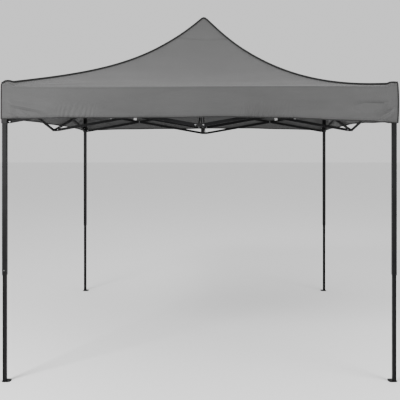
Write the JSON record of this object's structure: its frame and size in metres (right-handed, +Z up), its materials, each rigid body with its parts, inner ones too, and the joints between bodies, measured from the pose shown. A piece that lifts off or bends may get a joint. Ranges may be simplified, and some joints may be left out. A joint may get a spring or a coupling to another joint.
{
  "type": "folding canopy tent",
  "caption": "Pop-up canopy: a folding steel scissor frame on telescopic square legs, with a curved pyramid fabric roof and a hanging valance.",
  "frame": {"origin": "on the ground at the middle of the bounding box, under the centre pole", "axes": "+Z up along the centre pole; +X and +Y square to the sides; the front side faces -Y"},
  "size_m": [2.98, 2.98, 3.025],
  "materials": {
    "frame_steel": "satin",
    "moulding": "matte",
    "bright_steel": "polished",
    "fabric": "matte"
  },
  "bodies": {
    "hub": {"hub_upper": "moulding", "canopy": "fabric"},
    "cross_top_front": {"bar_cross_top_front": "frame_steel"},
    "cross_low_front": {"bar_cross_low_front": "frame_steel"},
    "mid_lower_front": {"mid_lower_front": "moulding"},
    "mid_upper_front": {"mid_upper_front": "moulding"},
    "centre_lift": {"hub_lower": "moulding", "centre_pole": "frame_steel"},
    "top_front_left": {"bar_top_front_left": "frame_steel"},
    "slide_front_left": {"bar_slide_front_left": "frame_steel"},
    "leg_front_left": {"leg_cap_front_left": "moulding", "upper_leg_front_left": "frame_steel"},
    "slider_front_left": {"slider_front_left": "moulding"},
    "top_front_right": {"bar_top_front_right": "frame_steel"},
    "slide_front_right": {"bar_slide_front_right": "frame_steel"},
    "leg_front_right": {"leg_cap_front_right": "moulding", "upper_leg_front_right": "frame_steel"},
    "slider_front_right": {"slider_front_right": "moulding"},
    "cross_top_right": {"bar_cross_top_right": "frame_steel"},
    "cross_low_right": {"bar_cross_low_right": "frame_steel"},
    "mid_lower_right": {"mid_lower_right": "moulding"},
    "mid_upper_right": {"mid_upper_right": "moulding"},
    "top_right_front": {"bar_top_right_front": "frame_steel"},
    "slide_right_front": {"bar_slide_right_front": "frame_steel"},
    "top_right_back": {"bar_top_right_back": "frame_steel"},
    "slide_right_back": {"bar_slide_right_back": "frame_steel"},
    "cross_top_back": {"bar_cross_top_back": "frame_steel"},
    "cross_low_back": {"bar_cross_low_back": "frame_steel"},
    "mid_lower_back": {"mid_lower_back": "moulding"},
    "mid_upper_back": {"mid_upper_back": "moulding"},
    "top_back_right": {"bar_top_back_right": "frame_steel"},
    "slide_back_right": {"bar_slide_back_right": "frame_steel"},
    "leg_back_right": {"leg_cap_back_right": "moulding", "upper_leg_back_right": "frame_steel"},
    "slider_back_right": {"slider_back_right": "moulding"},
    "top_back_left": {"bar_top_back_left": "frame_steel"},
    "slide_back_left": {"bar_slide_back_left": "frame_steel"},
    "leg_back_left": {"leg_cap_back_left": "moulding", "upper_leg_back_left": "frame_steel"},
    "slider_back_left": {"slider_back_left": "moulding"},
    "cross_top_left": {"bar_cross_top_left": "frame_steel"},
    "cross_low_left": {"bar_cross_low_left": "frame_steel"},
    "mid_lower_left": {"mid_lower_left": "moulding"},
    "mid_upper_left": {"mid_upper_left": "moulding"},
    "top_left_back": {"bar_top_left_back": "frame_steel"},
    "slide_left_back": {"bar_slide_left_back": "frame_steel"},
    "top_left_front": {"bar_top_left_front": "frame_steel"},
    "slide_left_front": {"bar_slide_left_front": "frame_steel"},
    "foot_front_left": {"lower_leg_front_left": "frame_steel"},
    "button_front_left": {"leg_button_front_left": "bright_steel"},
    "pin_front_left": {"slider_pin_front_left": "bright_steel"},
    "foot_front_right": {"lower_leg_front_right": "frame_steel"},
    "button_front_right": {"leg_button_front_right": "bright_steel"},
    "pin_front_right": {"slider_pin_front_right": "bright_steel"},
    "foot_back_right": {"lower_leg_back_right": "frame_steel"},
    "button_back_right": {"leg_button_back_right": "bright_steel"},
    "pin_back_right": {"slider_pin_back_right": "bright_steel"},
    "foot_back_left": {"lower_leg_back_left": "frame_steel"},
    "button_back_left": {"leg_button_back_left": "bright_steel"},
    "pin_back_left": {"slider_pin_back_left": "bright_steel"}
  },
  "joints": [
    {"name": "fold", "type": "hinge", "parent": "hub", "child": "cross_top_front", "pos_m": [0, -0.037, 2.1701], "axis": [1, 0, 0], "range_deg": [0, 77], "deforming": ["canopy"]},
    {"name": "turn_mid_lower_front", "type": "hinge", "parent": "cross_top_front", "child": "mid_lower_front", "pos_m": [0, -1.43, 1.92247], "axis": [-1, 0, 0], "range_deg": [0, 77]},
    {"name": "scissor_cross_front", "type": "hinge", "parent": "cross_top_front", "child": "cross_low_front", "pos_m": [0, -0.66385, 2.05867], "axis": [-1, 0, 0], "range_deg": [0, 154]},
    {"name": "turn_mid_upper_front", "type": "hinge", "parent": "cross_low_front", "child": "mid_upper_front", "pos_m": [0, -1.43, 2.19486], "axis": [1, 0, 0], "range_deg": [0, 77]},
    {"name": "turn_hub_lower", "type": "hinge", "parent": "cross_low_front", "child": "centre_lift", "pos_m": [0, -0.037, 1.94723], "axis": [1, 0, 0], "range_deg": [0, 77]},
    {"name": "fold_top_front_left", "type": "hinge", "parent": "mid_lower_front", "child": "top_front_left", "pos_m": [-0.03, -1.46, 1.92247], "axis": [0, 1, 0], "range_deg": [0, 77]},
    {"name": "scissor_front_left", "type": "hinge", "parent": "top_front_left", "child": "slide_front_left", "pos_m": [-0.79615, -1.46, 2.05867], "axis": [0, -1, 0], "range_deg": [0, 154]},
    {"name": "turn_leg_front_left", "type": "hinge", "parent": "top_front_left", "child": "leg_front_left", "pos_m": [-1.423, -1.46, 2.1701], "axis": [0, -1, 0], "range_deg": [0, 77]},
    {"name": "turn_slider_front_left", "type": "hinge", "parent": "slide_front_left", "child": "slider_front_left", "pos_m": [-1.423, -1.46, 1.94723], "axis": [0, 1, 0], "range_deg": [0, 77]},
    {"name": "fold_top_front_right", "type": "hinge", "parent": "mid_lower_front", "child": "top_front_right", "pos_m": [0.03, -1.46, 1.92247], "axis": [0, -1, 0], "range_deg": [0, 77]},
    {"name": "scissor_front_right", "type": "hinge", "parent": "top_front_right", "child": "slide_front_right", "pos_m": [0.79615, -1.46, 2.05867], "axis": [0, 1, 0], "range_deg": [0, 154]},
    {"name": "turn_leg_front_right", "type": "hinge", "parent": "top_front_right", "child": "leg_front_right", "pos_m": [1.423, -1.46, 2.1701], "axis": [0, 1, 0], "range_deg": [0, 77]},
    {"name": "turn_slider_front_right", "type": "hinge", "parent": "slide_front_right", "child": "slider_front_right", "pos_m": [1.423, -1.46, 1.94723], "axis": [0, -1, 0], "range_deg": [0, 77]},
    {"name": "fold_cross_right", "type": "hinge", "parent": "hub", "child": "cross_top_right", "pos_m": [0.037, 0, 2.1701], "axis": [0, 1, 0], "range_deg": [0, 77]},
    {"name": "turn_mid_lower_right", "type": "hinge", "parent": "cross_top_right", "child": "mid_lower_right", "pos_m": [1.43, 0, 1.92247], "axis": [0, -1, 0], "range_deg": [0, 77]},
    {"name": "scissor_cross_right", "type": "hinge", "parent": "cross_top_right", "child": "cross_low_right", "pos_m": [0.66385, 0, 2.05867], "axis": [0, -1, 0], "range_deg": [0, 154]},
    {"name": "turn_mid_upper_right", "type": "hinge", "parent": "cross_low_right", "child": "mid_upper_right", "pos_m": [1.43, 0, 2.19486], "axis": [0, 1, 0], "range_deg": [0, 77]},
    {"name": "fold_top_right_front", "type": "hinge", "parent": "mid_lower_right", "child": "top_right_front", "pos_m": [1.46, -0.03, 1.92247], "axis": [-1, 0, 0], "range_deg": [0, 77]},
    {"name": "scissor_right_front", "type": "hinge", "parent": "top_right_front", "child": "slide_right_front", "pos_m": [1.46, -0.79615, 2.05867], "axis": [1, 0, 0], "range_deg": [0, 154]},
    {"name": "fold_top_right_back", "type": "hinge", "parent": "mid_lower_right", "child": "top_right_back", "pos_m": [1.46, 0.03, 1.92247], "axis": [1, 0, 0], "range_deg": [0, 77]},
    {"name": "scissor_right_back", "type": "hinge", "parent": "top_right_back", "child": "slide_right_back", "pos_m": [1.46, 0.79615, 2.05867], "axis": [-1, 0, 0], "range_deg": [0, 154]},
    {"name": "fold_cross_back", "type": "hinge", "parent": "hub", "child": "cross_top_back", "pos_m": [0, 0.037, 2.1701], "axis": [-1, 0, 0], "range_deg": [0, 77]},
    {"name": "turn_mid_lower_back", "type": "hinge", "parent": "cross_top_back", "child": "mid_lower_back", "pos_m": [0, 1.43, 1.92247], "axis": [1, 0, 0], "range_deg": [0, 77]},
    {"name": "scissor_cross_back", "type": "hinge", "parent": "cross_top_back", "child": "cross_low_back", "pos_m": [0, 0.66385, 2.05867], "axis": [1, 0, 0], "range_deg": [0, 154]},
    {"name": "turn_mid_upper_back", "type": "hinge", "parent": "cross_low_back", "child": "mid_upper_back", "pos_m": [0, 1.43, 2.19486], "axis": [-1, 0, 0], "range_deg": [0, 77]},
    {"name": "fold_top_back_right", "type": "hinge", "parent": "mid_lower_back", "child": "top_back_right", "pos_m": [0.03, 1.46, 1.92247], "axis": [0, -1, 0], "range_deg": [0, 77]},
    {"name": "scissor_back_right", "type": "hinge", "parent": "top_back_right", "child": "slide_back_right", "pos_m": [0.79615, 1.46, 2.05867], "axis": [0, 1, 0], "range_deg": [0, 154]},
    {"name": "turn_leg_back_right", "type": "hinge", "parent": "top_back_right", "child": "leg_back_right", "pos_m": [1.423, 1.46, 2.1701], "axis": [0, 1, 0], "range_deg": [0, 77]},
    {"name": "turn_slider_back_right", "type": "hinge", "parent": "slide_back_right", "child": "slider_back_right", "pos_m": [1.423, 1.46, 1.94723], "axis": [0, -1, 0], "range_deg": [0, 77]},
    {"name": "fold_top_back_left", "type": "hinge", "parent": "mid_lower_back", "child": "top_back_left", "pos_m": [-0.03, 1.46, 1.92247], "axis": [0, 1, 0], "range_deg": [0, 77]},
    {"name": "scissor_back_left", "type": "hinge", "parent": "top_back_left", "child": "slide_back_left", "pos_m": [-0.79615, 1.46, 2.05867], "axis": [0, -1, 0], "range_deg": [0, 154]},
    {"name": "turn_leg_back_left", "type": "hinge", "parent": "top_back_left", "child": "leg_back_left", "pos_m": [-1.423, 1.46, 2.1701], "axis": [0, -1, 0], "range_deg": [0, 77]},
    {"name": "turn_slider_back_left", "type": "hinge", "parent": "slide_back_left", "child": "slider_back_left", "pos_m": [-1.423, 1.46, 1.94723], "axis": [0, 1, 0], "range_deg": [0, 77]},
    {"name": "fold_cross_left", "type": "hinge", "parent": "hub", "child": "cross_top_left", "pos_m": [-0.037, 0, 2.1701], "axis": [0, -1, 0], "range_deg": [0, 77]},
    {"name": "turn_mid_lower_left", "type": "hinge", "parent": "cross_top_left", "child": "mid_lower_left", "pos_m": [-1.43, 0, 1.92247], "axis": [0, 1, 0], "range_deg": [0, 77]},
    {"name": "scissor_cross_left", "type": "hinge", "parent": "cross_top_left", "child": "cross_low_left", "pos_m": [-0.66385, 0, 2.05867], "axis": [0, 1, 0], "range_deg": [0, 154]},
    {"name": "turn_mid_upper_left", "type": "hinge", "parent": "cross_low_left", "child": "mid_upper_left", "pos_m": [-1.43, 0, 2.19486], "axis": [0, -1, 0], "range_deg": [0, 77]},
    {"name": "fold_top_left_back", "type": "hinge", "parent": "mid_lower_left", "child": "top_left_back", "pos_m": [-1.46, 0.03, 1.92247], "axis": [1, 0, 0], "range_deg": [0, 77]},
    {"name": "scissor_left_back", "type": "hinge", "parent": "top_left_back", "child": "slide_left_back", "pos_m": [-1.46, 0.79615, 2.05867], "axis": [-1, 0, 0], "range_deg": [0, 154]},
    {"name": "fold_top_left_front", "type": "hinge", "parent": "mid_lower_left", "child": "top_left_front", "pos_m": [-1.46, -0.03, 1.92247], "axis": [-1, 0, 0], "range_deg": [0, 77]},
    {"name": "scissor_left_front", "type": "hinge", "parent": "top_left_front", "child": "slide_left_front", "pos_m": [-1.46, -0.79615, 2.05867], "axis": [1, 0, 0], "range_deg": [0, 154]},
    {"name": "telescope_front_left", "type": "slide", "parent": "leg_front_left", "child": "foot_front_left", "axis": [0, 0, 1], "range_m": [0, 0.72]},
    {"name": "press_button_front_left", "type": "slide", "parent": "leg_front_left", "child": "button_front_left", "axis": [0, 1, 0], "range_m": [0, 0.0016], "stiffness_N_per_m": 900},
    {"name": "pull_pin_front_left", "type": "slide", "parent": "slider_front_left", "child": "pin_front_left", "axis": [1, 0, 0], "range_m": [0, 0.006], "stiffness_N_per_m": 500},
    {"name": "telescope_front_right", "type": "slide", "parent": "leg_front_right", "child": "foot_front_right", "axis": [0, 0, 1], "range_m": [0, 0.72]},
    {"name": "press_button_front_right", "type": "slide", "parent": "leg_front_right", "child": "button_front_right", "axis": [-1, 0, 0], "range_m": [0, 0.0016], "stiffness_N_per_m": 900},
    {"name": "pull_pin_front_right", "type": "slide", "parent": "slider_front_right", "child": "pin_front_right", "axis": [0, 1, 0], "range_m": [0, 0.006], "stiffness_N_per_m": 500},
    {"name": "telescope_back_right", "type": "slide", "parent": "leg_back_right", "child": "foot_back_right", "axis": [0, 0, 1], "range_m": [0, 0.72]},
    {"name": "press_button_back_right", "type": "slide", "parent": "leg_back_right", "child": "button_back_right", "axis": [0, -1, 0], "range_m": [0, 0.0016], "stiffness_N_per_m": 900},
    {"name": "pull_pin_back_right", "type": "slide", "parent": "slider_back_right", "child": "pin_back_right", "axis": [-1, 0, 0], "range_m": [0, 0.006], "stiffness_N_per_m": 500},
    {"name": "telescope_back_left", "type": "slide", "parent": "leg_back_left", "child": "foot_back_left", "axis": [0, 0, 1], "range_m": [0, 0.72]},
    {"name": "press_button_back_left", "type": "slide", "parent": "leg_back_left", "child": "button_back_left", "axis": [1, 0, 0], "range_m": [0, 0.0016], "stiffness_N_per_m": 900},
    {"name": "pull_pin_back_left", "type": "slide", "parent": "slider_back_left", "child": "pin_back_left", "axis": [0, -1, 0], "range_m": [0, 0.006], "stiffness_N_per_m": 500}
  ],
  "couplings": [
    {"joint": "turn_mid_lower_front", "follows": "fold", "ratio": 1},
    {"joint": "scissor_cross_front", "follows": "fold", "ratio": 2},
    {"joint": "turn_mid_upper_front", "follows": "fold", "ratio": 1},
    {"joint": "turn_hub_lower", "follows": "fold", "ratio": 1},
    {"joint": "fold_top_front_left", "follows": "fold", "ratio": 1},
    {"joint": "scissor_front_left", "follows": "fold", "ratio": 2},
    {"joint": "turn_leg_front_left", "follows": "fold", "ratio": 1},
    {"joint": "turn_slider_front_left", "follows": "fold", "ratio": 1},
    {"joint": "fold_top_front_right", "follows": "fold", "ratio": 1},
    {"joint": "scissor_front_right", "follows": "fold", "ratio": 2},
    {"joint": "turn_leg_front_right", "follows": "fold", "ratio": 1},
    {"joint": "turn_slider_front_right", "follows": "fold", "ratio": 1},
    {"joint": "fold_cross_right", "follows": "fold", "ratio": 1},
    {"joint": "turn_mid_lower_right", "follows": "fold", "ratio": 1},
    {"joint": "scissor_cross_right", "follows": "fold", "ratio": 2},
    {"joint": "turn_mid_upper_right", "follows": "fold", "ratio": 1},
    {"joint": "fold_top_right_front", "follows": "fold", "ratio": 1},
    {"joint": "scissor_right_front", "follows": "fold", "ratio": 2},
    {"joint": "fold_top_right_back", "follows": "fold", "ratio": 1},
    {"joint": "scissor_right_back", "follows": "fold", "ratio": 2},
    {"joint": "fold_cross_back", "follows": "fold", "ratio": 1},
    {"joint": "turn_mid_lower_back", "follows": "fold", "ratio": 1},
    {"joint": "scissor_cross_back", "follows": "fold", "ratio": 2},
    {"joint": "turn_mid_upper_back", "follows": "fold", "ratio": 1},
    {"joint": "fold_top_back_right", "follows": "fold", "ratio": 1},
    {"joint": "scissor_back_right", "follows": "fold", "ratio": 2},
    {"joint": "turn_leg_back_right", "follows": "fold", "ratio": 1},
    {"joint": "turn_slider_back_right", "follows": "fold", "ratio": 1},
    {"joint": "fold_top_back_left", "follows": "fold", "ratio": 1},
    {"joint": "scissor_back_left", "follows": "fold", "ratio": 2},
    {"joint": "turn_leg_back_left", "follows": "fold", "ratio": 1},
    {"joint": "turn_slider_back_left", "follows": "fold", "ratio": 1},
    {"joint": "fold_cross_left", "follows": "fold", "ratio": 1},
    {"joint": "turn_mid_lower_left", "follows": "fold", "ratio": 1},
    {"joint": "scissor_cross_left", "follows": "fold", "ratio": 2},
    {"joint": "turn_mid_upper_left", "follows": "fold", "ratio": 1},
    {"joint": "fold_top_left_back", "follows": "fold", "ratio": 1},
    {"joint": "scissor_left_back", "follows": "fold", "ratio": 2},
    {"joint": "fold_top_left_front", "follows": "fold", "ratio": 1},
    {"joint": "scissor_left_front", "follows": "fold", "ratio": 2}
  ]
}
